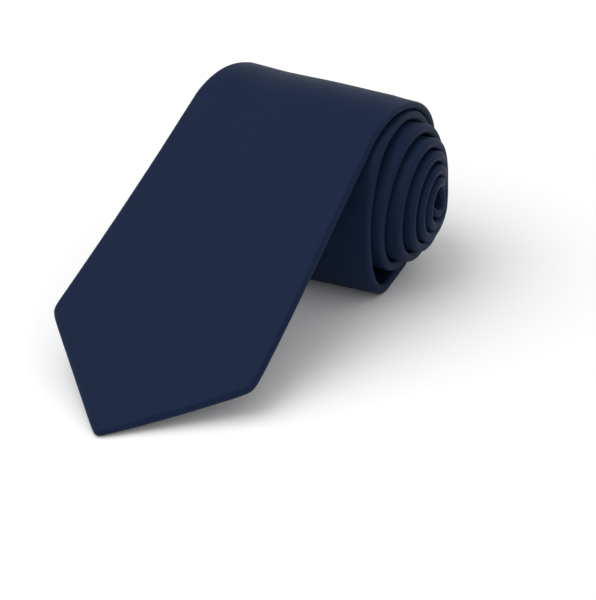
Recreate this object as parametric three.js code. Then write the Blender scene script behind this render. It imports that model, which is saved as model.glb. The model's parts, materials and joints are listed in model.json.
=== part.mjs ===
// A regular four-in-hand necktie, wound up from its tail and laid on a table.
// The roll's axis lies along X and the point of the front blade reaches forward, to -Y.
// Units are millimetres, +Z is up, and the origin is under the middle of the whole tie.
//
// The tie is one long flat tube of folded fabric. Every piece of it is lofted along the
// same route: s is the distance from the front tip, u runs across the tie, and n runs
// through its thickness, positive towards the face that is worn outwards.

import * as THREE from "three";
import { mergeVertices } from "three/addons/utils/BufferGeometryUtils.js";

// ---------------------------------------------------------------- driving dimensions
const bladeWidth = 88.9;            // 3.5 in across the two corners of the front blade
const neckWidth = 38;               // narrowest place, behind the collar
const tailWidth = 45;               // across the corners of the tail
const tieThickness = 3.6;           // folded fabric, interlining and air
const wall = 0.5;                   // one layer of face fabric
const restHeight = 36.1;            // roll axis to the middle of the layer that lies on the table
const turns = 7.6;                  // turns from the roll's top to the end of the tail
const stationsPerTurn = 16;         // cross-sections to a turn, at the same angles on every turn
const outerEdge = -17;              // X of the right edge of the outer turn
const tailDrift = 0.6;              // how much the tail's point slants to the right
const bladeYaw = THREE.MathUtils.degToRad(7.5);    // the blade leaves the roll at this angle

// From the roll's axis to the middle of the tie's thickness, by turns from the roll's top.
const windings = [
  [-1, 40.93],
  [0, 36.4],
  [1, 31.5],
  [1.5, 29.4],
  [6.5, 5.6],
  [7, 3.7],
  [7.5, 2.3],
  [8, 1.9],
];

// Each turn inwards stands this much further out to the right, by turns from the roll's top.
const edges = [
  [1, 0],
  [1.5, 2],
  [2, 6.4],
  [2.5, 8.6],
  [3, 11],
  [3.5, 12.8],
  [4, 14.1],
  [5, 16.1],
  [6, 17.2],
  [7, 17.6],
];
const edgeDip = { by: 1.8, towards: 85, reach: 60 };    // they lie less far out at the roll's back

// Twist, in degrees, by distance from the front tip: the tie's left edge lies higher.
const twists = [
  [0, 5.5],
  [60, 4],
  [150, 1.3],
  [230, 1.3],
  [300, 0],
];
const jointGap = 0.3;               // between two sections of the tie that move

// The roll is loose: its outer turn stands away from an even spiral at these angles, which
// run in degrees from the top of the roll towards the back and on inwards.
const bulges = [
  { at: -36, reach: 60, height: 2.2 },    // front blade, pushed out by the shoulder below it
  { at: 99, reach: 90, height: 2.9 },     // back of the outer turn
  { at: 203, reach: 62, height: 5.6 },    // slack that has sunk to the front of the base
  { at: 324, reach: 34, height: 2.3 },    // shoulder of the second layer, under the blade
];
const ovalTowards = 115;
const ovalReach = 110;
const ovalShare = 0.09;

// The front blade slopes down from the roll as one smooth curve in the Y-Z plane.
const leaveAngle = -30;             // degrees before the top, where the blade leaves the roll
const tipReach = 157;               // from the roll axis forward to the tip
const tipLift = 0.9;                // middle of the tip above the table
const tipPoint = new THREE.Vector2(-tipReach, tipLift - restHeight - tieThickness / 2);
const tipSlope = THREE.MathUtils.degToRad(16);
const leaveSlope = THREE.MathUtils.degToRad(31);
const rampHandle = 48;              // length of the curve's handles

// Widths along the tie, by distance from the front tip.
const frontPointLength = bladeWidth / 2;           // the tip is a right angle
const widths = [
  [frontPointLength, bladeWidth],
  [125, 80],
  [215, 72],
  [430, 56],
  [620, 44],
  [740, neckWidth],
];

// Where the pieces begin and end, from the front tip.
const tipRound = 2;
const bladeJointAt = 104;
const flapsMeetAt = 88;             // the two back flaps come together here
const hem = 12;                     // folded edge along the front point
const frontSeamAt = 480;            // front blade to neck piece
const tailSeamAt = 730;             // neck piece to tail
const seamGap = 1.2;
const tipShare = 0.7;               // how thick the tips are, as a share of the full thickness
const frontTaper = 22;              // the tie thins over this length at each end
const tailTaper = 60;
const tailHem = 8;
const tailFlapsMeetAt = 34;         // from the tail's tip
const flapSplit = 0.6;              // half the slit between the flaps, where the slip stitch runs
const foldDepth = 1.6;              // how far the rounded folds reach in from the edges
const foldShare = 0.6;              // near the points, a fold takes at most this share of a flap
const foldWall = 0.65;              // the face fabric is thicker where it turns over the edge
const yawStartAngle = 80;           // on the roll, where the blade begins to veer
const yawFullAngle = -10;

// Cross-sections along the blade, and the first one on the roll, in degrees before its top.
const bladeStations = [tipRound, 9, 22, frontPointLength, 66, flapsMeetAt, bladeJointAt, 121, 138];
const firstRollStation = -22.5;

// The tie bends as one at these places, given by their angle on the roll.
const bladeLiftAngle = -22.5;
const upperUnrollAngle = 67.5;
const lowerUnrollAngle = 135;

// Back pieces lie just behind these stations of the roll, in degrees after its top.
const keeperLoopAngle = 45;
const careLabelAngle = 67.5;

// ---------------------------------------------------------------- route of the tie
const stationClearance = 1;         // two cross-sections are never closer together than this
const radians = THREE.MathUtils.degToRad;
const stationStep = 360 / stationsPerTurn;

function smooth(t) {
  const x = THREE.MathUtils.clamp(t, 0, 1);
  return x * x * (3 - 2 * x);
}

// Reads a list of [distance, value] pairs, straight between them.
function valueAlong(pairs, s) {
  const next = pairs.findIndex(([at]) => at >= s);
  if (next === 0) return pairs[0][1];
  if (next < 0) return pairs.at(-1)[1];
  const [s0, v0] = pairs[next - 1];
  const [s1, v1] = pairs[next];
  return v0 + (v1 - v0) * (s - s0) / (s1 - s0);
}

// 1 in the middle of a bulge, falling smoothly to 0 at its reach.
function hump(far) {
  return Math.abs(far) < 1 ? Math.cos(far * Math.PI / 2) ** 2 : 0;
}

function bulgeAt(degrees) {
  return bulges.reduce((sum, { at, reach, height }) => sum + height * hump((degrees - at) / reach), 0);
}

// The inner turns are oval, fuller at the back.
function ovalAt(degrees) {
  if (degrees < 360) return 1;
  return 1 + ovalShare * hump((degrees % 360 - ovalTowards) / ovalReach);
}

// Middle of the tie's thickness on the roll, as (y, z), at an angle in degrees.
function rollPoint(degrees) {
  const radius = valueAlong(windings, degrees / 360) * ovalAt(degrees) + bulgeAt(degrees);
  const y = radius * Math.sin(radians(degrees));
  const z = Math.max(radius * Math.cos(radians(degrees)), -restHeight);
  return new THREE.Vector2(y, z);
}

// The blade's slope, from the tip up to the roll.
function rampCurve() {
  const start = rollPoint(leaveAngle);
  const startHandle = new THREE.Vector2(-Math.cos(leaveSlope), -Math.sin(leaveSlope));
  const endHandle = new THREE.Vector2(Math.cos(tipSlope), Math.sin(tipSlope));
  return new THREE.CubicBezierCurve(
    tipPoint,
    tipPoint.clone().addScaledVector(endHandle, rampHandle),
    start.clone().addScaledVector(startHandle, rampHandle),
    start,
  );
}

// Stations are the places where the tie's cross-section is set: chosen by hand on the blade,
// and at equal angles on the roll, so that the facets of one turn lie inside the next.
function makeStations() {
  const ramp = rampCurve();
  const rampLength = ramp.getLength();
  const list = bladeStations.map((s) => ({ s, point: ramp.getPointAt(s / rampLength), angle: leaveAngle }));
  let s = rampLength;
  let last = rollPoint(leaveAngle);
  for (let angle = firstRollStation; angle <= turns * 360; angle += stationStep) {
    const point = rollPoint(angle);
    s += point.distanceTo(last);
    last = point;
    list.push({ s, point, angle });
  }
  return list;
}

const stations = makeStations();
const tieLength = stations.at(-1).s;
const tailPointStart = tieLength - tailWidth / 2;

function halfWidth(s) {
  if (s < frontPointLength) return s;
  if (s < widths.at(-1)[0]) return valueAlong(widths, s) / 2;
  const neckEnd = widths.at(-1)[0];
  const flare = (s - neckEnd) / (tailPointStart - neckEnd);
  const flared = (neckWidth + (tailWidth - neckWidth) * flare) / 2;
  return Math.min(flared, tieLength - s + tipRound);
}

// The tie is thinner where its points end.
function halfThickness(s) {
  const full = Math.min(smooth(s / frontTaper), smooth((tieLength - s) / tailTaper));
  return (tieThickness / 2) * THREE.MathUtils.lerp(tipShare, 1, full);
}

// Across the tie, from its middle to the inner edge of each back flap.
function flapEdge(s) {
  const nearest = (fromTip, point, hemWidth, meet) => {
    if (fromTip < point) return Math.max(fromTip - hemWidth, flapSplit);
    return THREE.MathUtils.lerp(point - hemWidth, flapSplit, Math.min((fromTip - point) / (meet - point), 1));
  };
  if (s < tailSeamAt) return nearest(s, frontPointLength, hem, flapsMeetAt);
  return nearest(tieLength - s, tailWidth / 2, tailHem, tailFlapsMeetAt);
}

// Adds to each station its mitred normal and its yaw, and then, from the tail outwards, the X of
// the tie's middle: the right edges of the inner turns step outwards, and the blade veers left.
function frameStations() {
  const normalOf = (a, b) => {
    const along = b.point.clone().sub(a.point).normalize();
    return new THREE.Vector2(-along.y, along.x);
  };
  stations.forEach((station, i) => {
    const before = i > 0 ? normalOf(stations[i - 1], station) : null;
    const after = i < stations.length - 1 ? normalOf(station, stations[i + 1]) : null;
    const first = before ?? after;
    const second = after ?? before;
    station.mitre = first.clone().add(second).divideScalar(1 + first.dot(second));
    station.yaw = bladeYaw * smooth((yawStartAngle - station.angle) / (yawStartAngle - yawFullAngle));
  });
  for (let i = stations.length - 1; i >= 0; i--) {
    const station = stations[i];
    if (station.angle >= yawStartAngle) {
      const pastTail = Math.max(station.s - tailPointStart, 0);
      station.x = rightEdge(station.angle) - flushHalfWidth(station.s) + tailDrift * pastTail;
    } else {
      const inner = stations[i + 1];
      station.x = inner.x - Math.tan(station.yaw) * (inner.s - station.s);
    }
  }
}

// X of the right edge on the roll.
function rightEdge(angle) {
  const turn = angle / 360;
  const dip = edgeDip.by * hump((angle % 360 - edgeDip.towards) / edgeDip.reach) * smooth((turn - 2) / 3);
  return outerEdge + valueAlong(edges, turn) - dip;
}

// Half width that the right edge is lined up by. The tail's point narrows on both sides.
function flushHalfWidth(s) {
  return s > tailPointStart ? halfWidth(tailPointStart) : halfWidth(s);
}

frameStations();

// The place and directions at a distance s from the front tip. At a station the normal is its
// mitred one, so that offsets nest; between stations it is square to the facet.
function frameAt(s) {
  let i = 0;
  while (i < stations.length - 2 && stations[i + 1].s <= s) i++;
  const a = stations[i];
  const b = stations[i + 1];
  const k = (s - a.s) / (b.s - a.s);
  const along = b.point.clone().sub(a.point).normalize();
  const near = [a, b].find((station) => Math.abs(station.s - s) < stationClearance);
  const normal = near ? near.mitre : new THREE.Vector2(-along.y, along.x);
  const tangent = new THREE.Vector2(normal.y, -normal.x).normalize();
  const point = a.point.clone().lerp(b.point, k);
  const yaw = THREE.MathUtils.lerp(a.yaw, b.yaw, k);
  const twist = radians(valueAlong(twists, s));
  const flatAcross = new THREE.Vector3(Math.cos(yaw), -tangent.x * Math.sin(yaw), -tangent.y * Math.sin(yaw));
  const flatUp = new THREE.Vector3(0, normal.x, normal.y);
  const across = flatAcross.clone().multiplyScalar(Math.cos(twist)).addScaledVector(flatUp, -Math.sin(twist));
  const up = flatUp.clone().multiplyScalar(Math.cos(twist)).addScaledVector(flatAcross, Math.sin(twist));
  const centre = new THREE.Vector3(THREE.MathUtils.lerp(a.x, b.x, k), point.x, point.y);
  return { s, centre, across, up };
}

// ---------------------------------------------------------------- solids along the route
// A closed solid between two distances along the tie. outline(s) gives its section as [u, n]
// points, in the same order at every station. Where the tie twists its faces aren't flat, and
// every face is split along the same diagonal, so that one lies evenly inside another.
function loft(from, to, outline) {
  const isInner = (s) => s > from + stationClearance && s < to - stationClearance;
  const inner = stations.map((station) => station.s).filter(isInner);
  const frames = [from, ...inner, to].map(frameAt);
  const positions = [];
  const sections = frames.map(({ s }) => outline(s));
  frames.forEach(({ centre, across, up }, i) => {
    for (const [u, n] of sections[i]) {
      const p = centre.clone().addScaledVector(across, u).addScaledVector(up, n);
      positions.push(p.x, p.y, p.z);
    }
  });
  const count = sections[0].length;
  const last = (frames.length - 1) * count;
  const index = [];
  for (let ring = 0; ring < last; ring += count) {
    const section = sections[ring / count];
    for (let k = 0; k < count; k++) {
      const a = ring + k;
      const b = ring + (k + 1) % count;
      const leftwards = section[k][0] > section[(k + 1) % count][0];
      if (leftwards) index.push(a, b, a + count, b, b + count, a + count);
      else index.push(a, b, b + count, a, b + count, a + count);
    }
  }
  const flat = (section) => section.map(([u, n]) => new THREE.Vector2(u, n));
  const cap = (section) => THREE.ShapeUtils.triangulateShape(flat(section), []);
  for (const [a, b, c] of cap(sections[0])) index.push(a, c, b);
  for (const [a, b, c] of cap(sections.at(-1))) index.push(last + a, last + b, last + c);
  return facingOut(positions, index);
}

function facingOut(positions, index) {
  const geometry = new THREE.BufferGeometry();
  geometry.setAttribute("position", new THREE.Float32BufferAttribute(positions, 3));
  geometry.setIndex(index);
  const merged = mergeVertices(geometry, 1e-3);
  if (signedVolume(merged) < 0) merged.setIndex([...merged.index.array].reverse());
  merged.computeVertexNormals();
  return merged;
}

function signedVolume(geometry) {
  const position = geometry.attributes.position;
  const order = geometry.index.array;
  const corner = (i) => new THREE.Vector3().fromBufferAttribute(position, order[i]);
  let volume = 0;
  for (let i = 0; i < order.length; i += 3) {
    volume += corner(i).dot(corner(i + 1).cross(corner(i + 2))) / 6;
  }
  return volume;
}

// A thin-walled C: the face, both folded edges, and the two back flaps.
function shellOutline(s) {
  const half = halfWidth(s);
  const h = halfThickness(s);
  const open = flapEdge(s);
  const edge = Math.min(foldDepth, (half - open) * foldShare);
  const side = [
    [open, -h],
    [half - edge, -h],
    [half, 0],
    [half - edge, h],
  ];
  const lining = [
    [half - edge, h - wall],
    [half - foldWall, 0],
    [half - edge, -h + wall],
    [open, -h + wall],
  ];
  const mirrored = (points) => points.map(([u, n]) => [-u, n]).reverse();
  return [...side, [0, h], ...mirrored(side), ...mirrored(lining), [0, h - wall], ...lining];
}

// Everything that isn't a shell is a flat strip, from one n to another.
function strip(from, to, halfAcross, low, high) {
  const value = (v, s) => (typeof v === "function" ? v(s) : v);
  return loft(from, to, (s) => {
    const half = value(halfAcross, s);
    const [a, b] = [value(low, s), value(high, s)];
    return [[-half, a], [0, a], [half, a], [half, b], [0, b], [-half, b]];
  });
}

// ---------------------------------------------------------------- materials
const finishes = {
  face_fabric: { color: 0x1a2340, roughness: 0.5, metalness: 0 },
  lining_fabric: { color: 0x161d36, roughness: 0.4, metalness: 0 },
  interlining_wool: { color: 0xcfc8b8, roughness: 0.95, metalness: 0 },
  thread: { color: 0x1c2644, roughness: 0.6, metalness: 0 },
  label_cloth: { color: 0x20263a, roughness: 0.7, metalness: 0 },
};

const necktie = new THREE.Group();

function add(name, finish, geometry) {
  const mesh = new THREE.Mesh(geometry, new THREE.MeshStandardMaterial(finishes[finish]));
  mesh.name = name;
  necktie.add(mesh);
}

// ---------------------------------------------------------------- the pieces
const distanceAt = (angle) => stations.find((station) => station.angle === angle).s;
const joints = [bladeJointAt, ...[bladeLiftAngle, upperUnrollAngle, lowerUnrollAngle].map(distanceAt)];

// The tie's moving lengths, from the front tip to the wound part.
const names = ["blade_end", "blade_upper", "top_turn", "back_turn", "wound"];
const lengths = names.map((name, i) => ({
  name,
  from: i === 0 ? tipRound : joints[i - 1] + jointGap / 2,
  to: i < joints.length ? joints[i] - jointGap / 2 : tieLength,
}));

const innerEdgeInset = 2.4;         // inner pieces stop this far inside the tie's edges
const interliningAir = 0.25;        // between the interlining and the face
const interliningUnder = -0.2;
const interliningFromEnd = 8;
const stitchFromFlaps = 6;          // the slip stitch starts this far from where the flaps meet
const stitchInset = 0.05;
const threadThickness = 0.42;
const seamThread = 0.6;
const liningAir = 0.2;
const liningThickness = 0.3;
const liningUnderFlap = 7;          // how far the linings reach under the flaps
const frontLining = [14, 98];       // from the front tip
const tailLining = [36, 12];        // from the tail's tip
const backAir = 0.3;

// Bars of thread that close the slit where the two flaps meet, the self-fabric loop that the
// tail is passed through, and a blank care label.
const frontBarTack = { from: flapsMeetAt + 2.5, length: 1.5, half: 4, thickness: 0.5 };
const tailBarTack = { from: tieLength - tailFlapsMeetAt - 4, length: 1.2, half: 3, thickness: 0.5 };
const keeperLoop = { from: distanceAt(keeperLoopAngle) + 2, length: 10, half: 23, thickness: 0.55 };
const careLabel = { from: distanceAt(careLabelAngle) + 2.5, length: 9, half: 15, thickness: 0.35 };

const inside = (s) => halfThickness(s) - wall;
const innerHalf = (s) => halfWidth(s) - innerEdgeInset;
const interliningTop = (s) => inside(s) - interliningAir;

function addFaceFabric() {
  for (const { name, from, to } of lengths.slice(0, -1)) {
    add(`${name}_shell`, "face_fabric", loft(from, to, shellOutline));
  }
  const wound = lengths.at(-1);
  add("wound_blade_shell", "face_fabric", loft(wound.from, frontSeamAt - seamGap / 2, shellOutline));
  add("neck_shell", "face_fabric", loft(frontSeamAt + seamGap / 2, tailSeamAt - seamGap / 2, shellOutline));
  add("tail_shell", "face_fabric", loft(tailSeamAt + seamGap / 2, wound.to, shellOutline));
}

function addInterlining() {
  for (const { name, from, to } of lengths) {
    const start = Math.max(from, interliningFromEnd);
    const end = Math.min(to, tieLength - interliningFromEnd);
    const geometry = strip(start, end, innerHalf, interliningUnder, interliningTop);
    add(`${name}_interlining`, "interlining_wool", geometry);
  }
}

// The thread that closes the back, in the slit between the two flaps.
function addSlipStitch() {
  const start = flapsMeetAt + stitchFromFlaps;
  const end = tieLength - tailFlapsMeetAt - stitchFromFlaps;
  const under = (s) => -halfThickness(s) + stitchInset;
  const top = (s) => under(s) + threadThickness;
  for (const { name, from, to } of lengths) {
    const geometry = strip(Math.max(from, start), Math.min(to, end), threadThickness / 2, under, top);
    add(`${name}_slip_stitch`, "thread", geometry);
  }
}

// Lining behind each point, held under the hems.
function addLinings() {
  const under = (s) => -inside(s) + liningAir;
  const top = (s) => under(s) + liningThickness;
  const half = (s) => Math.min(flapEdge(s) + liningUnderFlap, innerHalf(s));
  const [frontStart, frontEnd] = frontLining;
  const [tailStart, tailEnd] = tailLining.map((fromTail) => tieLength - fromTail);
  add("front_lining", "lining_fabric", strip(frontStart, frontEnd, half, under, top));
  add("tail_lining", "lining_fabric", strip(tailStart, tailEnd, half, under, top));
}

// A strip that lies on the back of the tie, with a little air between them.
function addOnBack(name, finish, { from, length, half, thickness }) {
  const top = (s) => -halfThickness(s) - backAir;
  const under = (s) => top(s) - thickness;
  add(name, finish, strip(from, from + length, half, under, top));
}

function addBackPieces() {
  addOnBack("front_bar_tack", "thread", frontBarTack);
  addOnBack("tail_bar_tack", "thread", tailBarTack);
  addOnBack("keeper_loop", "face_fabric", keeperLoop);
  addOnBack("care_label", "label_cloth", careLabel);
}

// Seam threads between the three lengths of face fabric.
function addSeamThreads() {
  const top = (s) => inside(s) + threadThickness;
  for (const [name, at] of [["front_seam_thread", frontSeamAt], ["tail_seam_thread", tailSeamAt]]) {
    add(name, "thread", strip(at - seamThread / 2, at + seamThread / 2, innerHalf, inside, top));
  }
}

addFaceFabric();
addInterlining();
addSlipStitch();
addLinings();
addBackPieces();
addSeamThreads();

// The origin is under the middle of the tie.
const box = new THREE.Box3().setFromObject(necktie);
const middle = box.getCenter(new THREE.Vector3());
necktie.position.set(-middle.x, -middle.y, -box.min.z);

export default necktie;
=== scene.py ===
"""A navy satin necktie, wound up from its tail and laid on a table.

The front blade slopes down from the roll to its point.

The tie is one long folded tube of cloth. Every soft piece is a loft along the tie's own route: s is the
distance from the front tip, u runs across the tie and n through its thickness, towards the worn face.
The route follows the CAD model's, drawn smoothly. Lengths along the route are in millimetres.
"""
import json
import math

import bpy
import numpy as np
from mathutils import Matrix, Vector


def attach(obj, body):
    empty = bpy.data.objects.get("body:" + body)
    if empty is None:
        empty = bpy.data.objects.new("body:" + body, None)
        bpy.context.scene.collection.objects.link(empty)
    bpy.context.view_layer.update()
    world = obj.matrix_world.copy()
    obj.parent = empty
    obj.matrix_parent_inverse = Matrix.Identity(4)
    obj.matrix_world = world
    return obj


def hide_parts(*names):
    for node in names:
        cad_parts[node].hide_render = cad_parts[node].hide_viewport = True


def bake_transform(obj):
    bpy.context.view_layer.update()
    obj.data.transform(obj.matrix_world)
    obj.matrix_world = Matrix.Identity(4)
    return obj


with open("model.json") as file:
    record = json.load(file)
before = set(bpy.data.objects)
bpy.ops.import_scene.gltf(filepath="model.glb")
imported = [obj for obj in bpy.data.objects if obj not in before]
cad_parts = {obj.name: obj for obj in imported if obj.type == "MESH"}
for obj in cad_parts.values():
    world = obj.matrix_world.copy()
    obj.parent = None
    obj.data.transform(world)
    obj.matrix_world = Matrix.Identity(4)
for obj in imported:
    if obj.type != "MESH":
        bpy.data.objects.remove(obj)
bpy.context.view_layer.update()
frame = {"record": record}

MM = 0.001

# ---------------------------------------------------------------- the tie's sizes, mm
BLADE_WIDTH = 88.9
NECK_WIDTH = 38.0
TAIL_WIDTH = 45.0
THICKNESS = 3.6            # through the middle of the tie
EDGE_THICKNESS = 4.1       # the folds along both edges aren't pressed flat
WALL = 0.45                # one layer of face fabric
POINT_LENGTH = BLADE_WIDTH / 2
WIDTHS = ((POINT_LENGTH, BLADE_WIDTH), (125, 80), (215, 72), (430, 56), (620, 44), (740, NECK_WIDTH))
POINT_RADIUS = 1.5         # the points and corners are a little round
CORNER_SOFTNESS = 0.9
LEAST_HALF_WIDTH = 0.12    # at the very tip
HEM, FLAPS_MEET = 12.0, 88.0
TAIL_HEM, TAIL_FLAPS_MEET = 8.0, 34.0
SLIT = 0.15                # half the slit between the two back flaps
FRONT_SEAM, TAIL_SEAM = 480.0, 730.0

# ---------------------------------------------------------------- how the tie is wound, mm and degrees
# Roll axis to the middle of the tie's thickness, by turns from the roll's top.
WINDINGS = ((-1, 40.93), (0, 36.4), (1, 31.5), (1.5, 29.4), (6.5, 5.6), (7, 3.7), (7.5, 2.3), (8, 1.9))
REST_HEIGHT = 36.1
TURNS = 7.6
OUTER_EDGE = -17.0         # where the outer turn's right edge lies along the roll
# How far each turn inside stands out beyond it: turn, distance.
EDGES = (
    (1, 0), (1.5, 2), (2, 6.4), (2.5, 8.6), (3, 11),
    (3.5, 12.8), (4, 14.1), (5, 16.1), (6, 17.2), (7, 17.6),
)
# The same edges lie further in at the back: how far, where, and over which turns that grows.
EDGE_DIP, DIP_TOWARDS, DIP_REACH = 1.8, 85.0, 60.0
DIP_FROM, DIP_OVER = 2, 3
TAIL_DRIFT = 0.6           # how much the tail's point slants to the right
BLADE_YAW = math.radians(7.5)
YAW_START, YAW_FULL = 98.0, 8.0
OVAL_TOWARDS, OVAL_REACH, OVAL_SHARE = 115.0, 110.0, 0.09
# Angle, reach, height. The last one presses in the side of the hollow core.
BULGES = ((-36, 60, 2.2), (99, 90, 2.9), (203, 62, 5.6), (324, 34, 2.3), (2600, 50, -1.3))
TWISTS = ((0, 5.5), (60, 4.0), (150, 1.3), (230, 1.3), (300, 0.0))         # distance, degrees
LEAVE_ANGLE = -30.0
TIP_REACH = 157.0
TIP_LIFT = 0.9
TIP_SLOPE, LEAVE_SLOPE = math.radians(16), math.radians(31)
RAMP_HANDLE = 48.0

# The moving lengths bend at these places: the first by distance, the others by angle on the roll.
TIP_LIFT_AT = 104.0
BLADE_LIFT_ANGLE, UPPER_UNROLL_ANGLE, LOWER_UNROLL_ANGLE = -22.5, 67.5, 135.0
BEND_REACH = 14.0

# The roll's axis in the row frame, from the rest mount, which is on the roll's flattened base.
MOUNT_FROM_AXIS = (-50.0, -7.5)
AXIS_HEIGHT = 38.0
rest_mount = next(m for m in frame["record"]["mounts"] if m["name"] == "rest")
AXIS = np.array([
    rest_mount["pos_m"][0] / MM - MOUNT_FROM_AXIS[0],
    rest_mount["pos_m"][1] / MM - MOUNT_FROM_AXIS[1],
    AXIS_HEIGHT,
])


# ---------------------------------------------------------------- the route
ROUTE_STEP = 0.5
RAMP_POINTS = 400          # along the blade's slope, before it is resampled
SOFTEN_SPAN = 13           # route steps over which its corners are rounded off


def smooth(t):
    t = np.clip(t, 0.0, 1.0)
    return t * t * (3 - 2 * t)


def read_off(pairs, at):
    """Reads a list of (place, value) pairs, straight between them."""
    return np.interp(at, [p[0] for p in pairs], [p[1] for p in pairs])


def hump(far):
    """1 at the middle of a bulge, falling to 0 at its reach."""
    return np.cos(np.clip(far, -1, 1) * math.pi / 2) ** 2


def roll_point(angle):
    """Middle of the tie's thickness on the roll, as (y, z), for degrees from the roll's top."""
    angle = np.atleast_1d(np.asarray(angle, float))
    towards = hump((angle % 360 - OVAL_TOWARDS) / OVAL_REACH)
    oval = 1 + np.where(angle >= 360, OVAL_SHARE * towards, 0.0)
    bulge = sum(height * hump((angle - at) / reach) for at, reach, height in BULGES)
    radius = read_off(WINDINGS, angle / 360) * oval + bulge
    y = radius * np.sin(np.radians(angle))
    z = np.maximum(radius * np.cos(np.radians(angle)), -REST_HEIGHT)
    return np.stack([y, z], -1)


def ramp_points(count):
    """The blade's slope from its tip up to the roll, a cubic curve."""
    top = roll_point(LEAVE_ANGLE)[0]
    tip = np.array([-TIP_REACH, TIP_LIFT - REST_HEIGHT - THICKNESS / 2])
    tip_handle = tip + RAMP_HANDLE * np.array([math.cos(TIP_SLOPE), math.sin(TIP_SLOPE)])
    top_handle = top - RAMP_HANDLE * np.array([math.cos(LEAVE_SLOPE), math.sin(LEAVE_SLOPE)])
    t = np.linspace(0, 1, count)[:, None]
    rising = (1 - t) ** 3 * tip + 3 * (1 - t) ** 2 * t * tip_handle
    return rising + 3 * (1 - t) * t ** 2 * top_handle + t ** 3 * top


def soften(values):
    """A running mean over SOFTEN_SPAN steps that keeps both ends in place."""
    pad = SOFTEN_SPAN // 2
    weights = np.hanning(SOFTEN_SPAN + 2)[1:-1]
    before = 2 * values[0] - values[pad:0:-1]
    after = 2 * values[-1] - values[-2:-pad - 2:-1]
    return np.convolve(np.concatenate([before, values, after]), weights / weights.sum(), "valid")


class Route:
    """The tie's middle line, with what depends on the distance s along it."""

    def __init__(self):
        ramp = ramp_points(RAMP_POINTS)
        roll_angles = np.arange(LEAVE_ANGLE + 1, TURNS * 360, 1.0)
        points = np.concatenate([ramp, roll_point(roll_angles)])
        angles = np.concatenate([np.full(len(ramp), LEAVE_ANGLE), roll_angles])
        steps = np.linalg.norm(np.diff(points, axis=0), axis=1)
        travelled = np.concatenate([[0], np.cumsum(steps)])
        self.s = np.arange(0, travelled[-1], ROUTE_STEP)
        self.angle = np.interp(self.s, travelled, angles)
        self.yz = np.stack([soften(np.interp(self.s, travelled, points[:, i])) for i in range(2)], -1)
        self.length = self.s[-1]
        self.tail_point = self.length - TAIL_WIDTH / 2
        self.tangent = np.gradient(self.yz, ROUTE_STEP, axis=0)
        self.yaw = BLADE_YAW * smooth((YAW_START - self.angle) / (YAW_START - YAW_FULL))
        self.x = self.middle_x()

    def at_angle(self, angle):
        wound = self.angle > LEAVE_ANGLE
        return float(np.interp(angle, self.angle[wound], self.s[wound]))

    def full_half_width(self, s):
        """Half the tie's width, leaving out its two points."""
        neck_end = WIDTHS[-1][0]
        flare = np.clip((s - neck_end) / (self.tail_point - neck_end), 0, 1)
        tail_width = NECK_WIDTH + (TAIL_WIDTH - NECK_WIDTH) * flare
        return np.where(s > neck_end, tail_width, read_off(WIDTHS, s)) / 2

    def half_width(self, s):
        """Half the tie's width, narrowing to a round point at either end."""
        from_end = np.minimum(s, self.length - s)
        point = np.sqrt(np.maximum(from_end ** 2 - POINT_RADIUS ** 2, 0))
        full = self.full_half_width(s)
        narrower = np.minimum(point, full)
        wider = np.maximum(point, full)
        rounding = CORNER_SOFTNESS * np.exp(-(wider - narrower) / (2 * CORNER_SOFTNESS))
        return np.maximum(narrower - rounding, LEAST_HALF_WIDTH)

    def middle_x(self):
        turn = self.angle / 360
        towards = hump((self.angle % 360 - DIP_TOWARDS) / DIP_REACH)
        dip = EDGE_DIP * towards * smooth((turn - DIP_FROM) / DIP_OVER)
        lined_up_by = self.full_half_width(np.minimum(self.s, self.tail_point))
        x = OUTER_EDGE + read_off(EDGES, turn) - dip - lined_up_by
        x += TAIL_DRIFT * np.maximum(self.s - self.tail_point, 0)
        x = soften(soften(x))
        start = int(np.argmax(self.angle >= YAW_START))
        veer = np.cumsum(np.tan(self.yaw[:start + 1][::-1]) * ROUTE_STEP)[::-1]
        x[:start + 1] = x[start] - veer
        return x

    def frames(self, s):
        """Centre, across and up vectors at each s, from the roll's axis."""
        def pick(values):
            return np.interp(s, self.s, values)
        along = np.stack([pick(self.tangent[:, 0]), pick(self.tangent[:, 1])], -1)
        along /= np.linalg.norm(along, axis=1)[:, None]
        yaw = pick(self.yaw)
        twist = np.radians(read_off(TWISTS, s))
        sideways = np.sin(yaw)
        flat_across = np.stack([np.cos(yaw), -along[:, 0] * sideways, -along[:, 1] * sideways], -1)
        flat_up = np.stack([np.zeros_like(yaw), -along[:, 1], along[:, 0]], -1)
        turn, lift = np.cos(twist)[:, None], np.sin(twist)[:, None]
        centre = np.stack([pick(self.x), pick(self.yz[:, 0]), pick(self.yz[:, 1])], -1)
        return centre, flat_across * turn - flat_up * lift, flat_up * turn + flat_across * lift


route = Route()


TABLE_CLEARANCE = 0.02     # the cloth's lowest points are this far above the table


def place(s, u, n):
    """Points in the row frame, in metres, for distances s (one per ring) and u, n (rings by points).

    The table presses flat what would hang below it.
    """
    centre, across, up = route.frames(s)
    points = centre[:, None] + across[:, None] * u[..., None] + up[:, None] * n[..., None] + AXIS
    points[..., 2] = np.maximum(points[..., 2], TABLE_CLEARANCE)
    return points * MM


# ---------------------------------------------------------------- the moving lengths
class Length:
    """A stretch of the tie that rides on one body, or that spans one joint and is only baked in place,
    with no bend set up.
    """

    def __init__(self, name, start, end, body=None, joint=None, joint_at=None):
        self.name, self.start, self.end = name, start, end
        self.body, self.joint, self.joint_at = body, joint, joint_at

    def carry(self, piece):
        if self.joint is None:
            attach(piece, self.body)
            return
        rings = np.array([self.joint_at + BEND_REACH, self.joint_at - BEND_REACH])
        fixed_end, moving_end = place(rings, np.zeros((2, 1)), np.zeros((2, 1)))[:, 0]
        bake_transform(piece)


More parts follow.
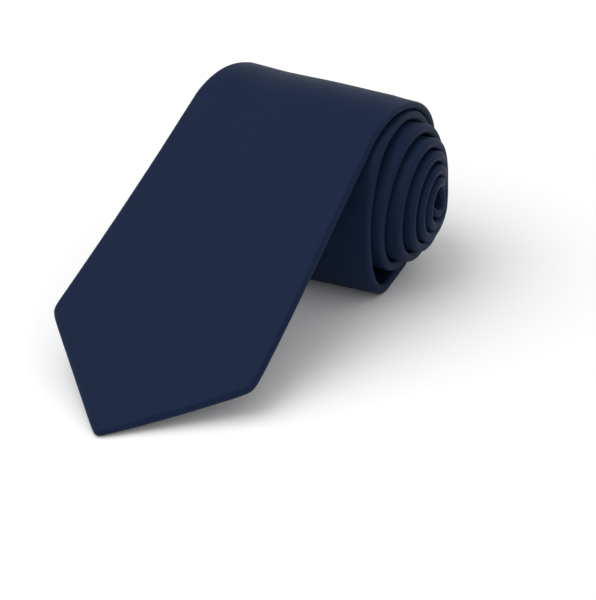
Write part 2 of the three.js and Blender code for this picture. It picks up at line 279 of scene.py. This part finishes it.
# Each bending length runs from the middle of one moving body to the middle of the next, so its ends
# meet its neighbours where nothing bends.
UPPER_MIDDLE = 132.0
TOP_MIDDLE, BACK_MIDDLE, WOUND_START = (route.at_angle(angle) for angle in (22.5, 101.0, 170.0))
BENDING = (
    Length("blade_end", POINT_RADIUS, UPPER_MIDDLE, joint="tip_lift", joint_at=TIP_LIFT_AT),
    Length("blade_upper", UPPER_MIDDLE, TOP_MIDDLE, joint="blade_lift",
           joint_at=route.at_angle(BLADE_LIFT_ANGLE)),
    Length("top_turn", TOP_MIDDLE, BACK_MIDDLE, joint="unroll_top",
           joint_at=route.at_angle(UPPER_UNROLL_ANGLE)),
    Length("back_turn", BACK_MIDDLE, WOUND_START, joint="unroll",
           joint_at=route.at_angle(LOWER_UNROLL_ANGLE)),
)
TAIL_TIP = route.length - POINT_RADIUS
WOUND = (
    Length("wound_blade", WOUND_START, FRONT_SEAM, body="roll"),
    Length("neck", FRONT_SEAM, TAIL_SEAM, body="roll"),
    Length("tail", TAIL_SEAM, TAIL_TIP, body="roll"),
)
WHOLE_WOUND = Length("wound", WOUND_START, TAIL_TIP, body="roll")


# ---------------------------------------------------------------- lofting
FOLD_SPREAD = 7.0          # how far in from an edge the fold's fullness fades out
FLAP_POINTS, FOLD_POINTS, FACE_POINTS = 8, 11, 8
CLOTH_STEP = 1.8
WALL_SHARE, LEAST_WALL = 0.12, 0.01    # the cloth thins where the tube is this narrow, at the points
FOLD_LIMIT = 0.6           # the fold's fullness takes at most this share of half the width
FLAP_LIMIT = 0.96
RIPPLE = 0.10              # the cloth's small unevenness, and the lengths of its two waves
SLOW_ALONG, SLOW_ACROSS = 23.0, 19.0
QUICK_ALONG, QUICK_ACROSS, QUICK_SHARE = 11.3, 27.0, 0.6

# Where the tie is fuller or flatter than its even thickness over the roll's top:
# middle and reach along it, middle and reach across it, height.
SWELLS = (
    (route.at_angle(-8.0), 34.0, -31.0, 11.0, 1.0),
    (route.at_angle(0.0), 40.0, 2.0, 22.0, 0.6),
    (route.at_angle(8.0), 44.0, 36.0, 13.0, -1.5),
)


def face_height(s, u, n):
    """n with the cloth's small unevenness, and its swells, which raise the face and not the back."""
    slow = np.sin(s / SLOW_ALONG + 0.8) * np.sin(u / SLOW_ACROSS + 1.1)
    uneven = RIPPLE * (slow + QUICK_SHARE * np.sin(s / QUICK_ALONG - u / QUICK_ACROSS))
    swell = sum(
        height * hump((s - s_at) / s_reach) * hump((u - u_at) / u_reach)
        for s_at, s_reach, u_at, u_reach, height in SWELLS
    )
    return n + uneven + swell * np.clip(0.5 + n / THICKNESS, 0, 1)


TIP_SHARE = 0.7            # how thick the tips are, as a share of the full thickness
FRONT_TAPER, TAIL_TAPER = 26.0, 60.0
NOSE = 1.4                 # over which each point is rounded through its thickness
NOSE_LIMIT = 0.97          # the very tip keeps a little thickness


def half_thickness(s):
    """Half the thickness in the middle and at the folded edges. Both thin down to the points."""
    full = np.minimum(smooth(s / FRONT_TAPER), smooth((route.length - s) / TAIL_TAPER))
    from_tip = np.minimum(s, route.length - s) - POINT_RADIUS
    nose = np.sqrt(1 - np.clip(1 - from_tip / NOSE, 0, NOSE_LIMIT) ** 2)
    share = (TIP_SHARE + (1 - TIP_SHARE) * full) * nose
    return THICKNESS / 2 * share, EDGE_THICKNESS / 2 * share


def closing(start, end, at_start, s):
    """From at_start down to the slit, between two distances."""
    return at_start + (SLIT - at_start) * np.clip((s - start) / (end - start), 0, 1)


def flap_edge(s):
    """From the tie's middle to the inner edge of each back flap."""
    t = route.length - s
    tail_point = TAIL_WIDTH / 2
    if s < TAIL_SEAM:
        if s < POINT_LENGTH:
            return max(s - HEM, SLIT)
        return closing(POINT_LENGTH, FLAPS_MEET, POINT_LENGTH - HEM, s)
    if t < tail_point:
        return max(t - TAIL_HEM, SLIT)
    return closing(tail_point, TAIL_FLAPS_MEET, tail_point - TAIL_HEM, t)


def tube_section(s):
    """The folded cloth at s, from the right flap's edge, round both folds, to the left flap's edge."""
    half = float(route.half_width(s))
    middle, edge = (float(x) for x in half_thickness(s))
    reach = min(edge, half / 2)
    open_at = min(flap_edge(s), (half - reach) * FLAP_LIMIT)
    spread = min(FOLD_SPREAD, (half - reach) * FOLD_LIMIT)

    def depth(u):
        return middle + (edge - middle) * smooth(1 - (half - reach - u) / spread)

    flap_u = np.linspace(open_at, half - reach, FLAP_POINTS)
    bend = np.radians(np.linspace(-90, 90, FOLD_POINTS))[1:-1]
    face_u = np.linspace(half - reach, 0, FACE_POINTS)
    flap = np.stack([flap_u, -depth(flap_u)], -1)
    fold = np.stack([half - reach + reach * np.cos(bend), edge * np.sin(bend)], -1)
    face = np.stack([face_u, depth(face_u)], -1)
    right = np.concatenate([flap, fold, face])
    left = right[-2::-1] * (-1, 1)
    return np.concatenate([right, left])


def inner_side(section, wall):
    """The cloth's other side, a wall's thickness to the left of the section's line."""
    along = np.gradient(section, axis=0)
    along /= np.maximum(np.linalg.norm(along, axis=1), 1e-9)[:, None]
    return section + np.stack([-along[:, 1], along[:, 0]], -1) * wall


POINT_RINGS = np.array([0.05, 0.2, 0.45, 0.8, 1.2])


def rings_between(start, end, step):
    """Evenly spaced distances, closer together at the tie's two points."""
    rings = np.linspace(start, end, max(int(math.ceil((end - start) / step)), 2) + 1)
    if start <= POINT_RADIUS:
        rings = np.concatenate([rings[:1], start + POINT_RINGS, rings[1:]])
    if end >= TAIL_TIP:
        rings = np.concatenate([rings[:-1], end - POINT_RINGS[::-1], rings[-1:]])
    return rings


def surface(sections, s):
    """Points and smooth normals of a stack of sections, but for its first and last rings."""
    grid = np.stack(sections)
    points = place(s, grid[..., 0], face_height(s[:, None], grid[..., 0], grid[..., 1]))
    normals = np.cross(np.gradient(points, axis=0), np.gradient(points, axis=1))
    normals /= np.maximum(np.linalg.norm(normals, axis=-1), 1e-15)[..., None]
    return points[1:-1], normals[1:-1]


def quads(rows):
    """Quads between neighbouring points of two equal rows, in the order of the first row."""
    a, b = rows
    return np.stack([a[:-1], a[1:], b[1:], b[:-1]], -1)


def cloth(name, start, end, section_at, wall, step=CLOTH_STEP):
    """A closed sheet of cloth, lofted between two distances. Returns it with its flat size."""
    rings = rings_between(start, end, step)
    s = np.concatenate([[2 * rings[0] - rings[1]], rings, [2 * rings[-1] - rings[-2]]])
    s = np.clip(s, POINT_RADIUS, TAIL_TIP)
    outer = [section_at(x) for x in s]
    walls = [min(wall, np.ptp(ring[:, 0]) * WALL_SHARE + LEAST_WALL) for ring in outer]
    inner = [inner_side(ring, w) for ring, w in zip(outer, walls)]
    front_points, front_normals = surface(outer, s)
    back_points, back_normals = surface(inner, s)
    count, across = front_points.shape[:2]
    total = count * across
    ids = np.arange(total).reshape(count, across)
    front = np.stack([ids[:-1, :-1], ids[1:, :-1], ids[1:, 1:], ids[:-1, 1:]], -1).reshape(-1, 4)
    back = front[:, ::-1] + total
    rims = np.concatenate([
        quads((ids[0], ids[0] + total)),
        quads((ids[-1][::-1], ids[-1][::-1] + total)),
        quads((ids[::-1, 0], ids[::-1, 0] + total)),
        quads((ids[:, -1], ids[:, -1] + total)),
    ])
    points = np.concatenate([front_points.reshape(-1, 3), back_points.reshape(-1, 3)])
    normals = np.concatenate([front_normals.reshape(-1, 3), -back_normals.reshape(-1, 3)])
    faces = np.concatenate([front, back, rims])
    corners = normals[faces]
    rim_points = points[rims]
    rim_normals = np.cross(rim_points[:, 2] - rim_points[:, 0], rim_points[:, 3] - rim_points[:, 1])
    rim_normals /= np.maximum(np.linalg.norm(rim_normals, axis=1), 1e-15)[:, None]
    corners[-len(rims):] = rim_normals[:, None]
    steps = np.stack([np.linalg.norm(np.diff(ring, axis=0), axis=1) for ring in outer[1:-1]])
    girths = np.concatenate([np.zeros((count, 1)), np.cumsum(steps, axis=1)], axis=1)
    u = girths - girths[:, -1:] / 2
    v = np.repeat(rings[:, None], across, axis=1)
    uv = np.tile(np.stack([u, v], -1).reshape(-1, 2), (2, 1)) * MM
    piece = mesh_piece(name, points, faces.tolist(), uv, corners)
    widths = girths[:, -1] * MM
    area = float(np.sum((widths[1:] + widths[:-1]) / 2 * np.diff(rings * MM)))
    return piece, (float(widths.max()), (end - start) * MM, area)


def mesh_piece(name, points, faces, uv, corner_normals=None):
    """An object from points in metres, faces as lists, and each point's place on the cloth."""
    mesh = bpy.data.meshes.new(name)
    mesh.from_pydata(points.tolist(), [], faces)
    corner_points = np.array([point for face in faces for point in face])
    layer = mesh.uv_layers.new(name="cloth")
    layer.data.foreach_set("uv", uv[corner_points].astype(np.float32).reshape(-1))
    mesh.shade_smooth()
    if corner_normals is not None:
        mesh.normals_split_custom_set(corner_normals.reshape(-1, 3).tolist())
    piece = bpy.data.objects.new(name, mesh)
    bpy.context.scene.collection.objects.link(piece)
    return piece


THREAD_SIDES = 7
THREAD_TAPER, THREAD_END = 0.12, 0.05  # how its thickness falls off at either end


def threads(name, paths, radius):
    """Round threads along paths of (s, u, n) points, all in one mesh."""
    points, faces, uvs = [], [], []
    first = 0
    turn = np.linspace(0, 2 * math.pi, THREAD_SIDES, endpoint=False)
    for path in paths:
        line = place(path[:, 0], path[:, 1:2], path[:, 2:3])[:, 0]
        swell = np.sin(np.linspace(THREAD_TAPER, math.pi - THREAD_TAPER, len(line)))
        ring_radius = radius * MM * swell.clip(THREAD_END) ** 0.25
        along = np.gradient(line, axis=0)
        along /= np.linalg.norm(along, axis=1)[:, None]
        side = np.cross(along, route.frames(path[:, 0])[2])
        side /= np.maximum(np.linalg.norm(side, axis=1), 1e-9)[:, None]
        other = np.cross(side, along)
        ring = side[:, None] * np.cos(turn)[:, None] + other[:, None] * np.sin(turn)[:, None]
        points.append((line[:, None] + ring * ring_radius[:, None, None]).reshape(-1, 3))
        steps = np.linalg.norm(np.diff(line, axis=0), axis=1)
        travelled = np.concatenate([[0], np.cumsum(steps)])
        around = np.broadcast_arrays(turn[None] * radius * MM, travelled[:, None])
        uvs.append(np.stack(around, -1).reshape(-1, 2))
        ids = first + np.arange(len(line) * THREAD_SIDES).reshape(len(line), THREAD_SIDES)
        nxt = np.roll(ids, -1, axis=1)
        body = np.stack([ids[:-1], nxt[:-1], nxt[1:], ids[1:]], -1).reshape(-1, 4)
        faces.extend(body.tolist())
        faces.append(ids[0][::-1].tolist())
        faces.append(ids[-1].tolist())
        first += len(line) * THREAD_SIDES
    return mesh_piece(name, np.concatenate(points), faces, np.concatenate(uvs))


# ---------------------------------------------------------------- materials
class Nodes:
    """A Principled material and short ways to add the nodes that drive it."""

    def __init__(self, name, **sockets):
        self.material = bpy.data.materials.new(name)
        self.material.use_nodes = True
        self.tree = self.material.node_tree
        self.shader = self.tree.nodes["Principled BSDF"]
        for socket, value in sockets.items():
            self.shader.inputs[socket.replace("_", " ")].default_value = value

    def add(self, kind, **settings):
        node = self.tree.nodes.new(kind)
        for setting, value in settings.items():
            setattr(node, setting, value)
        return node

    def link(self, output, target):
        self.tree.links.new(output, target)

    def cloth_coordinates(self, turn, scale):
        """The cloth's own coordinates in metres, turned by so many degrees."""
        uv = self.add("ShaderNodeUVMap", uv_map="cloth")
        mapping = self.add("ShaderNodeMapping")
        mapping.inputs["Rotation"].default_value[2] = math.radians(turn)
        mapping.inputs["Scale"].default_value = scale
        self.link(uv.outputs["UV"], mapping.inputs["Vector"])
        return mapping.outputs["Vector"]

    def lines(self, turn, spacing, distortion=0.0):
        """Parallel raised lines so many metres apart, 0 to 1."""
        wave = self.add("ShaderNodeTexWave", wave_type="BANDS", bands_direction="X")
        wave.inputs["Scale"].default_value = math.pi / 10 / spacing
        wave.inputs["Distortion"].default_value = distortion
        self.link(self.cloth_coordinates(turn, (1, 1, 1)), wave.inputs["Vector"])
        return wave.outputs["Fac"]

    def noise(self, size, detail=2.0, stretch=(1, 1, 1), turn=0.0):
        """Soft unevenness about so many metres across, 0 to 1."""
        noise = self.add("ShaderNodeTexNoise")
        noise.inputs["Scale"].default_value = 1 / size
        noise.inputs["Detail"].default_value = detail
        self.link(self.cloth_coordinates(turn, stretch), noise.inputs["Vector"])
        return noise.outputs["Fac"]

    def math(self, operation, first, second):
        node = self.add("ShaderNodeMath", operation=operation)
        for socket, value in zip(node.inputs, (first, second)):
            if isinstance(value, (int, float)):
                socket.default_value = value
            else:
                self.link(value, socket)
        return node.outputs[0]

    def spread(self, value, low, high):
        """value from 0 to 1 becomes low to high."""
        node = self.add("ShaderNodeMapRange")
        node.inputs["To Min"].default_value = low
        node.inputs["To Max"].default_value = high
        self.link(value, node.inputs["Value"])
        return node.outputs["Result"]

    def colours(self, value, dark, light):
        ramp = self.add("ShaderNodeMix", data_type="RGBA")
        a, b = (s for s in ramp.inputs if s.type == "RGBA")
        a.default_value, b.default_value = (*dark, 1), (*light, 1)
        self.link(value, ramp.inputs["Factor"])
        self.link(next(o for o in ramp.outputs if o.type == "RGBA"), self.shader.inputs["Base Color"])

    def bump(self, height, distance, strength=1.0):
        bump = self.add("ShaderNodeBump")
        bump.inputs["Distance"].default_value = distance
        bump.inputs["Strength"].default_value = strength
        self.link(height, bump.inputs["Height"])
        self.link(bump.outputs["Normal"], self.shader.inputs["Normal"])

    def roughness(self, value, low, high):
        self.link(self.spread(value, low, high), self.shader.inputs["Roughness"])


def shade(colour, share):
    return tuple(channel * share for channel in colour)


NAVY = (0.0074, 0.0152, 0.0420)
LINING_NAVY = (0.0120, 0.0185, 0.0500)
WOOL = (0.62, 0.58, 0.50)
THREAD_NAVY = (0.0200, 0.0300, 0.0720)
LABEL_NAVY = (0.0200, 0.0240, 0.0500)
BIAS = 45                  # ties are cut across the weave, degrees


def satin():
    """Fine satin: close warp floats on the bias, a soft sheen, and slight unevenness in the dye."""
    m = Nodes("face_fabric", Specular_IOR_Level=0.05, Sheen_Weight=0.01, Sheen_Roughness=0.4)
    m.shader.inputs["Sheen Tint"].default_value = (0.35, 0.5, 0.9, 1)
    floats = m.lines(BIAS, 0.00034, 0.4)
    picks = m.lines(BIAS + 78, 0.00052, 0.6)
    weave = m.math("ADD", m.math("MULTIPLY", floats, 0.7), m.math("MULTIPLY", picks, 0.3))
    slubs = m.noise(0.0011, 3.0, (1, 0.22, 1), BIAS)
    dye = m.noise(0.035, 2.0)
    tone = m.math("ADD", m.math("MULTIPLY", weave, 0.35), m.math("MULTIPLY", slubs, 0.25))
    tone = m.math("ADD", tone, m.math("MULTIPLY", dye, 0.4))
    m.colours(tone, shade(NAVY, 0.84), shade(NAVY, 1.16))
    m.roughness(slubs, 0.46, 0.60)
    m.bump(m.math("ADD", weave, m.math("MULTIPLY", slubs, 0.5)), 0.00003, 0.6)
    return m.material


def lining():
    """Plain twill lining, darker and a little glossier than the face."""
    m = Nodes("lining_fabric", Specular_IOR_Level=0.4)
    twill = m.lines(62, 0.0006, 0.3)
    fibres = m.noise(0.0009, 3.0, (1, 0.3, 1), 62)
    m.colours(m.math("ADD", m.math("MULTIPLY", twill, 0.6), m.math("MULTIPLY", fibres, 0.4)),
              shade(LINING_NAVY, 0.7), shade(LINING_NAVY, 1.25))
    m.roughness(fibres, 0.36, 0.50)
    m.bump(twill, 0.00005)
    return m.material


def wool():
    """Napped cream wool interlining."""
    m = Nodes("interlining_wool", Specular_IOR_Level=0.15, Sheen_Weight=0.3)
    nap = m.noise(0.0007, 5.0)
    weave = m.lines(0, 0.0011, 2.0)
    m.colours(m.math("ADD", m.math("MULTIPLY", nap, 0.7), m.math("MULTIPLY", weave, 0.3)),
              shade(WOOL, 0.72), shade(WOOL, 1.08))
    m.roughness(nap, 0.82, 0.96)
    m.bump(m.math("ADD", nap, m.math("MULTIPLY", weave, 0.4)), 0.00025)
    return m.material


def thread_finish():
    """Two-ply sewing thread."""
    m = Nodes("thread", Specular_IOR_Level=0.35)
    ply = m.lines(38, 0.00030)
    fuzz = m.noise(0.0004, 3.0)
    m.colours(m.math("ADD", m.math("MULTIPLY", ply, 0.7), m.math("MULTIPLY", fuzz, 0.3)),
              shade(THREAD_NAVY, 0.6), shade(THREAD_NAVY, 1.5))
    m.roughness(fuzz, 0.45, 0.65)
    m.bump(ply, 0.00006)
    return m.material


def label_finish():
    """Plain woven tape with nothing on it."""
    m = Nodes("label_cloth", Specular_IOR_Level=0.3)
    warp = m.lines(90, 0.0004)
    weft = m.lines(0, 0.0005)
    both = m.math("MULTIPLY", warp, weft)
    m.colours(both, shade(LABEL_NAVY, 0.7), shade(LABEL_NAVY, 1.5))
    m.roughness(weft, 0.5, 0.62)
    m.bump(both, 0.00005)
    return m.material


FINISHES = {
    "face_fabric": satin(),
    "lining_fabric": lining(),
    "interlining_wool": wool(),
    "thread": thread_finish(),
    "label_cloth": label_finish(),
}


def finished(piece, slot, *nodes):
    piece.data.materials.append(FINISHES[slot])
    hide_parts(*nodes)
    return piece


# ---------------------------------------------------------------- the pieces
def make_face_fabric():
    for part in BENDING + WOUND:
        piece, size = cloth(part.name + "_cloth", part.start, part.end, tube_section, WALL)
        finished(piece, "face_fabric", part.name + "_shell")
        part.carry(piece)


INTERLINING_HALF = 0.85    # half its thickness
INTERLINING_INSET = 3.2    # how far it stays inside the folds
INTERLINING_START = 12.0
INTERLINING_POINTS, INTERLINING_STEP = 9, 3.0


def interlining_section(s):
    """The wool's upper side, as a line across the tie."""
    half = float(route.half_width(s)) - INTERLINING_INSET
    u = np.linspace(half, -half, INTERLINING_POINTS)
    return np.stack([u, np.full(INTERLINING_POINTS, INTERLINING_HALF)], -1)


def make_interlining():
    end = route.length - INTERLINING_START
    for part in BENDING + (WHOLE_WOUND,):
        start = max(part.start, INTERLINING_START)
        piece, size = cloth(part.name + "_wool", start, min(part.end, end), interlining_section,
                            2 * INTERLINING_HALF, INTERLINING_STEP)
        finished(piece, "interlining_wool", part.name + "_interlining")
        part.carry(piece)


STITCH_START, STITCH_END = 8.0, 4.0    # from where the flaps meet, at the front and at the tail
STITCH_SPACING = 5.0
STITCH_REACH = 1.3
STITCH_SLANT = 0.9
STITCH_LIFT = 0.6          # how far it stands out, as a share of its radius
STITCH_POINTS = 7
THREAD_RADIUS = 0.17
SINK = 0.25                # stitch ends go this far into the cloth


def stitch(s):
    """One hand stitch across the slit, on the underside."""
    t = np.linspace(-1, 1, STITCH_POINTS)
    distance = s + STITCH_SLANT * t
    middle = half_thickness(distance)[0]
    n = -middle - THREAD_RADIUS * STITCH_LIFT + SINK * t ** 4
    return np.stack([distance, STITCH_REACH * t, n], -1)


def make_slip_stitch():
    last = route.length - TAIL_FLAPS_MEET - STITCH_END
    for part in BENDING + (WHOLE_WOUND,):
        start = max(part.start, FLAPS_MEET + STITCH_START) + STITCH_SPACING / 2
        places = np.arange(start, min(part.end, last) - STITCH_SLANT, STITCH_SPACING)
        paths = [stitch(s) for s in places]
        piece = threads(part.name + "_stitches", paths, THREAD_RADIUS)
        finished(piece, "thread", part.name + "_slip_stitch")
        part.carry(piece)


LINING_WALL = 0.3
LINING_LEVEL = 1.3         # below the middle of the tie
LINING_TUCK = 3.0          # under the hem at the point
LINING_PAST_MEET = 4.0     # on, from where the flaps meet
LINING_INSET = 2.6         # how far it stays inside the folds
LINING_LEAST = 0.4
LINING_POINTS = 15
FRONT_MARGIN, TAIL_MARGIN = 4.0, 3.0   # under the flaps at the sides


def lining_section(margin):
    def section(s):
        half = min(flap_edge(s) + margin, float(route.half_width(s)) - LINING_INSET)
        half = max(half, LINING_LEAST)
        u = np.linspace(half, -half, LINING_POINTS)
        return np.stack([u, np.full(LINING_POINTS, LINING_WALL - LINING_LEVEL)], -1)
    return section


def make_linings():
    piece, size = cloth("front_lining_cloth", HEM - LINING_TUCK, FLAPS_MEET + LINING_PAST_MEET,
                        lining_section(FRONT_MARGIN), LINING_WALL)
    finished(piece, "lining_fabric", "front_lining")
    BENDING[0].carry(piece)
    tail_start = route.length - TAIL_FLAPS_MEET - LINING_PAST_MEET
    piece, size = cloth("tail_lining_cloth", tail_start, route.length - TAIL_HEM + LINING_TUCK,
                        lining_section(TAIL_MARGIN), LINING_WALL)
    finished(piece, "lining_fabric", "tail_lining")
    WHOLE_WOUND.carry(piece)


TACK_LIFT = 0.3            # the core of a bar tack, below the cloth
TACK_SINK = 0.4            # its ends go this far back into the cloth
TACK_PITCH = 0.42          # from one turn of the wrap to the next
WRAP_WIDTH, WRAP_HEIGHT = 0.34, 0.3
WRAP_SHARE = 0.96          # of the core's length
CORE_POINTS, WRAP_POINTS = 9, 8


def bar_tack(s, length):
    """A thread core across the slit with a close wrap of thread round it."""
    level = -float(half_thickness(s)[0]) - TACK_LIFT
    t = np.linspace(-1, 1, CORE_POINTS)
    core = np.stack([np.full(CORE_POINTS, s), length / 2 * t, level + TACK_SINK * np.abs(t) ** 6], -1)
    turns = int(length / TACK_PITCH)
    a = np.linspace(0, 2 * math.pi * turns, turns * WRAP_POINTS)
    across = length / 2 * WRAP_SHARE * np.linspace(-1, 1, len(a))
    wrap = np.stack([s + WRAP_WIDTH * np.cos(a), across, level + WRAP_HEIGHT * np.sin(a)], -1)
    return [core, wrap]


def make_bar_tacks():
    for name, s, length, part in (
        ("front_bar_tack", FLAPS_MEET + 4, 9.0, BENDING[0]),
        ("tail_bar_tack", route.length - TAIL_FLAPS_MEET - 2, 5.0, WHOLE_WOUND),
    ):
        piece = threads(name + "_thread", bar_tack(s, length), THREAD_RADIUS)
        finished(piece, "thread", name)
        part.carry(piece)


# Behind the blade: where each begins on the roll, and its size along and half across the tie.
LOOP_START, LOOP_WIDTH, LOOP_HALF = route.at_angle(45.0) + 2, 10.0, 23.0
LABEL_START, LABEL_LENGTH, LABEL_HALF = route.at_angle(67.5) + 2.5, 10.4, 15.0
# Thickness, how far the middle stands off, and how long the ends that lie down are.
LOOP_THICKNESS, LOOP_GAP, LOOP_ENDS = 0.5, 0.25, 4.0
LABEL_THICKNESS, LABEL_GAP, LABEL_ENDS = 0.3, 0.05, 3.0
STRAP_CLEARANCE = 0.12
STRAP_POINTS, STRAP_STEP = 25, 1.0


def strap_section(half, gap, ends):
    """A strap across the underside. Its middle stands off and its ends lie on the cloth."""
    def section(s):
        u = np.linspace(half, -half, STRAP_POINTS)
        off = gap * smooth((half - np.abs(u)) / ends)
        level = -float(half_thickness(s)[0]) - STRAP_CLEARANCE - off
        return np.stack([u, level], -1)
    return section


def make_keeper_loop():
    section = strap_section(LOOP_HALF, LOOP_GAP, LOOP_ENDS)
    piece, size = cloth("keeper_loop_cloth", LOOP_START, LOOP_START + LOOP_WIDTH, section,
                        -LOOP_THICKNESS, STRAP_STEP)
    finished(piece, "face_fabric", "keeper_loop")
    BENDING[2].carry(piece)


def make_care_label():
    section = strap_section(LABEL_HALF, LABEL_GAP, LABEL_ENDS)
    piece, size = cloth("care_label_cloth", LABEL_START, LABEL_START + LABEL_LENGTH, section,
                        -LABEL_THICKNESS, STRAP_STEP)
    finished(piece, "label_cloth", "care_label")
    BENDING[2].carry(piece)


SEAM_INSET = 3.0           # the row stops this far inside the folds
SEAM_PITCH, SEAM_STITCH = 2.4, 2.0
SEAM_LIFT, SEAM_SINK = 0.04, 0.3       # a stitch's middle above the cloth, its ends below its middle
SEAM_THREAD_RADIUS = 0.13
SEAM_POINTS = 5


def make_seam_threads():
    """Machine stitches along the two seams, on the worn face and just below it."""
    t = np.linspace(0, 1, SEAM_POINTS)
    for name, s in (("front_seam_thread", FRONT_SEAM), ("tail_seam_thread", TAIL_SEAM)):
        half = float(route.half_width(s)) - SEAM_INSET
        level = float(half_thickness(s)[0]) + SEAM_LIFT - SEAM_SINK * (2 * t - 1) ** 4
        along = np.full(SEAM_POINTS, s)
        starts = np.arange(-half, half, SEAM_PITCH)
        paths = [np.stack([along, u + SEAM_STITCH * t, level], -1) for u in starts]
        piece = threads(name + "_row", paths, SEAM_THREAD_RADIUS)
        finished(piece, "thread", name)
        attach(piece, "roll")


make_face_fabric()
make_interlining()
make_slip_stitch()
make_linings()
make_bar_tacks()
make_keeper_loop()
make_care_label()
make_seam_threads()


# ---------------------------------------------------------------- floor, light and camera, metres
FLOOR_SIZE = 12
FLOOR_WHITE = (0.9, 0.9, 0.9, 1)
DAYLIGHT = 0.80            # strength of the even light from all round
KEY_PLACE, KEY_SIZE, KEY_WATTS = (-0.70, -0.35, 1.30), 1.6, 15
KEY_AIM = (0.0, 0.0, 0.03)


def make_floor():
    bpy.ops.mesh.primitive_plane_add(size=FLOOR_SIZE, location=(0, 0, 0))
    floor = bpy.context.object
    floor.name = "floor"
    m = Nodes("floor_white", Roughness=0.9, Specular_IOR_Level=0.1)
    m.shader.inputs["Base Color"].default_value = FLOOR_WHITE
    floor.data.materials.append(m.material)


def aim(thing, target):
    thing.rotation_mode = "QUATERNION"
    thing.rotation_quaternion = (Vector(target) - thing.location).to_track_quat("-Z", "Y")


def make_key_light():
    """One large softbox, above and to the left of the blade."""
    light = bpy.data.lights.new("key", "AREA")
    light.shape = "SQUARE"
    light.size = KEY_SIZE
    light.energy = KEY_WATTS
    lamp = bpy.data.objects.new("key", light)
    lamp.location = KEY_PLACE
    bpy.context.scene.collection.objects.link(lamp)
    aim(lamp, KEY_AIM)


def make_daylight():
    world = bpy.data.worlds.new("studio")
    world.use_nodes = True
    background = world.node_tree.nodes["Background"]
    background.inputs["Color"].default_value = (1, 1, 1, 1)
    background.inputs["Strength"].default_value = DAYLIGHT
    bpy.context.scene.world = world


CAMERA_AZIMUTH, CAMERA_ELEVATION = math.radians(22.5), math.radians(31.0)
CAMERA_AIM = Vector(AXIS * MM) + Vector((-0.04457, -0.04022, -0.0334))
CAMERA_DISTANCE = 1.7787
LENS, SENSOR = 270, 36     # mm
CLIP_NEAR, CLIP_FAR = 0.05, 20


def make_camera():
    data = bpy.data.cameras.new("camera")
    data.sensor_width, data.lens = SENSOR, LENS
    data.clip_start, data.clip_end = CLIP_NEAR, CLIP_FAR
    camera = bpy.data.objects.new("camera", data)
    level = math.cos(CAMERA_ELEVATION)
    back = Vector((
        math.sin(CAMERA_AZIMUTH) * level,
        -math.cos(CAMERA_AZIMUTH) * level,
        math.sin(CAMERA_ELEVATION),
    ))
    camera.location = CAMERA_AIM + back * CAMERA_DISTANCE
    bpy.context.scene.collection.objects.link(camera)
    aim(camera, CAMERA_AIM)
    bpy.context.scene.camera = camera


make_floor()
make_daylight()
make_key_light()
make_camera()
bpy.context.scene.view_settings.view_transform = "Standard"
